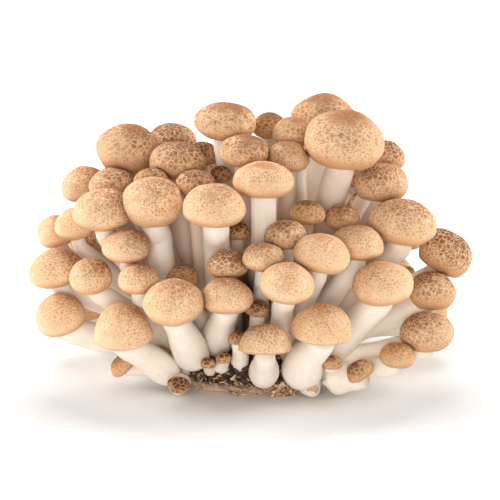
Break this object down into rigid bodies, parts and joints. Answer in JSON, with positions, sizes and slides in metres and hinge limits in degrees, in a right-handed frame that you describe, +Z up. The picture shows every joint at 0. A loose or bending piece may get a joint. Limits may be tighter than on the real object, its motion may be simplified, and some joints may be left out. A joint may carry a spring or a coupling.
{
  "type": "beech mushroom cluster",
  "caption": "A cluster of brown beech mushrooms with speckled domed caps on fused white stems, standing on the cut block of growing medium it grew from.",
  "frame": {"origin": "middle of the flat cut base of the growing block, on the surface it stands on", "axes": "+X to the right along the longest side, +Y to the back, +Z up"},
  "size_m": [0.147, 0.118, 0.0875],
  "materials": {
    "cap": "satin tan-brown skin, dark and finely cracked at the crown, freckled down to a pale smooth margin",
    "dark_cap": "satin dark brown skin of the small young caps, freckled, paler at the margin",
    "stem": "smooth matt cream-white flesh with faint lengthwise fibres",
    "growing_medium": "dark crumbled growing medium with straw-coloured fibres and a tan torn edge"
  },
  "bodies": {
    "root": {"cap_top_1": "cap", "cap_top_2": "cap", "cap_top_3": "cap", "cap_top_4": "dark_cap", "cap_top_5": "cap", "cap_top_6": "cap", "cap_top_7": "cap", "cap_top_8": "cap", "cap_upper_1": "cap", "cap_upper_2": "cap", "cap_upper_3": "cap", "cap_upper_4": "dark_cap", "cap_upper_5": "cap", "cap_upper_6": "cap", "cap_upper_7": "dark_cap", "cap_upper_8": "cap", "cap_upper_9": "dark_cap", "cap_upper_10": "cap", "cap_upper_11": "cap", "cap_upper_12": "cap", "cap_upper_13": "cap", "cap_upper_14": "cap", "cap_middle_1": "cap", "cap_middle_2": "cap", "cap_middle_3": "cap", "cap_middle_4": "cap", "cap_middle_5": "cap", "cap_middle_6": "cap", "cap_middle_7": "dark_cap", "cap_middle_8": "cap", "cap_middle_9": "cap", "cap_middle_10": "cap", "cap_middle_11": "dark_cap", "cap_middle_12": "dark_cap", "cap_middle_13": "cap", "cap_middle_14": "cap", "cap_middle_15": "cap", "cap_middle_16": "cap", "cap_middle_17": "cap", "cap_lower_1": "cap", "cap_lower_2": "cap", "cap_lower_3": "cap", "cap_lower_4": "cap", "cap_lower_5": "cap", "cap_lower_6": "cap", "cap_lower_7": "cap", "cap_lower_8": "cap", "cap_lower_9": "cap", "cap_lower_10": "dark_cap", "button_cap_1": "dark_cap", "button_cap_2": "dark_cap", "button_cap_3": "dark_cap", "caps_back_low_right": "cap", "caps_back_low_left": "cap", "caps_back_middle_right": "cap", "caps_back_middle_left": "cap", "caps_back_upper_right": "cap", "caps_back_upper_left": "cap", "stems": "stem", "growing_block": "growing_medium"}
  },
  "joints": []
}
